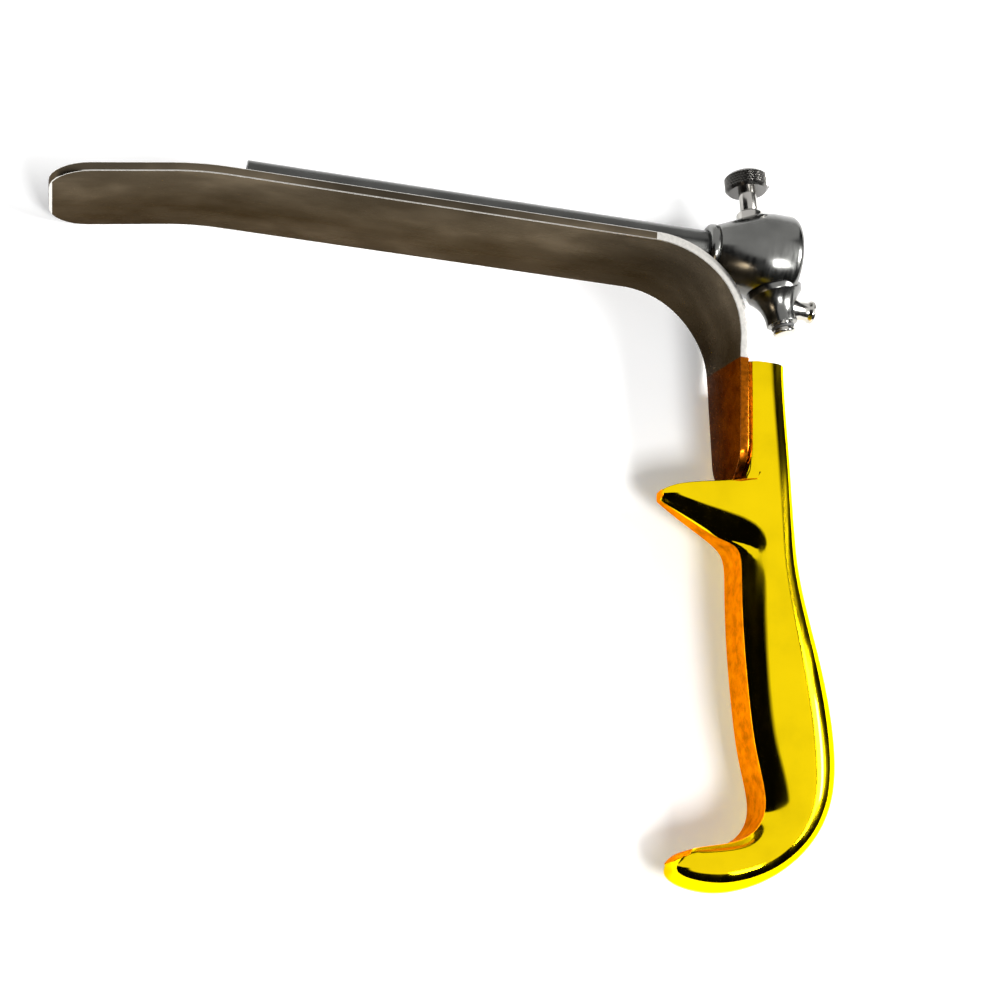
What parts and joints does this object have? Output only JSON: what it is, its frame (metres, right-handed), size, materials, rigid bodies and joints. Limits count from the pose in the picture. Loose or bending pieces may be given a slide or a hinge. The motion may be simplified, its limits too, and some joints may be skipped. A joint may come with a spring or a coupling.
{
  "type": "endoscopic retractor",
  "caption": "Pistol-grip endoscopic retractor: flat angled blade with a scope tube along it, a scope clamp with a knurled thumb screw, a suction port and a hollow gold-plated handle.",
  "frame": {"origin": "centre of the scope bore's mouth at the clamp's rear face", "axes": "+X along the scope bore, the way the scope leaves; +Y from the handle towards the blade; +Z across the blade, up as the instrument lies on its side"},
  "size_m": [0.1997, 0.1863, 0.03],
  "materials": {
    "satin_steel": "satin, gold-plated below the bend",
    "steel_tube": "satin",
    "braze": "satin",
    "satin_clamp_steel": "satin",
    "turned_steel": "polished, turned",
    "knurled_steel": "knurled",
    "gold_plate": "mirror-polished gold plating",
    "gold_band": "satin gold plating",
    "seal_rubber": "matt silicone",
    "inner_steel": "machined"
  },
  "bodies": {
    "root": {"blade": "satin_steel", "guide_tube": "steel_tube", "tube_braze": "braze", "clamp_ring": "satin_clamp_steel", "clamp_body": "satin_clamp_steel", "screw_bush": "turned_steel", "scope_seal": "seal_rubber", "seal_retainer": "turned_steel", "valve_barrel": "satin_clamp_steel", "hose_nozzle": "turned_steel", "handle_lid": "gold_plate", "handle_shell_near": "gold_plate", "handle_shell_far": "gold_plate", "front_band": "gold_band", "tang": "inner_steel", "tang_pins": "inner_steel"},
    "pad": {"pressure_pad": "turned_steel"},
    "thumb_screw": {"screw_shaft": "turned_steel", "knob_head": "knurled_steel"},
    "valve": {"valve_plug": "turned_steel", "plug_seal": "seal_rubber", "plug_cap": "turned_steel"}
  },
  "joints": [
    {"name": "pad_advance", "type": "slide", "parent": "root", "child": "pad", "axis": [0.1045, -0.9945, 0], "range_m": [0, 0.0021]},
    {"name": "screw_turn", "type": "hinge", "parent": "pad", "child": "thumb_screw", "pos_m": [-0.0102, 0, 0], "axis": [0.1045, -0.9945, 0], "range_deg": [0, 1080]},
    {"name": "valve_turn", "type": "hinge", "parent": "root", "child": "valve", "pos_m": [-0.007, 0, 0], "axis": [0.2588, -0.9659, 0], "range_deg": [0, 90]}
  ],
  "couplings": [
    {"joint": "screw_turn", "follows": "pad_advance", "rad_per_m": 8976}
  ]
}
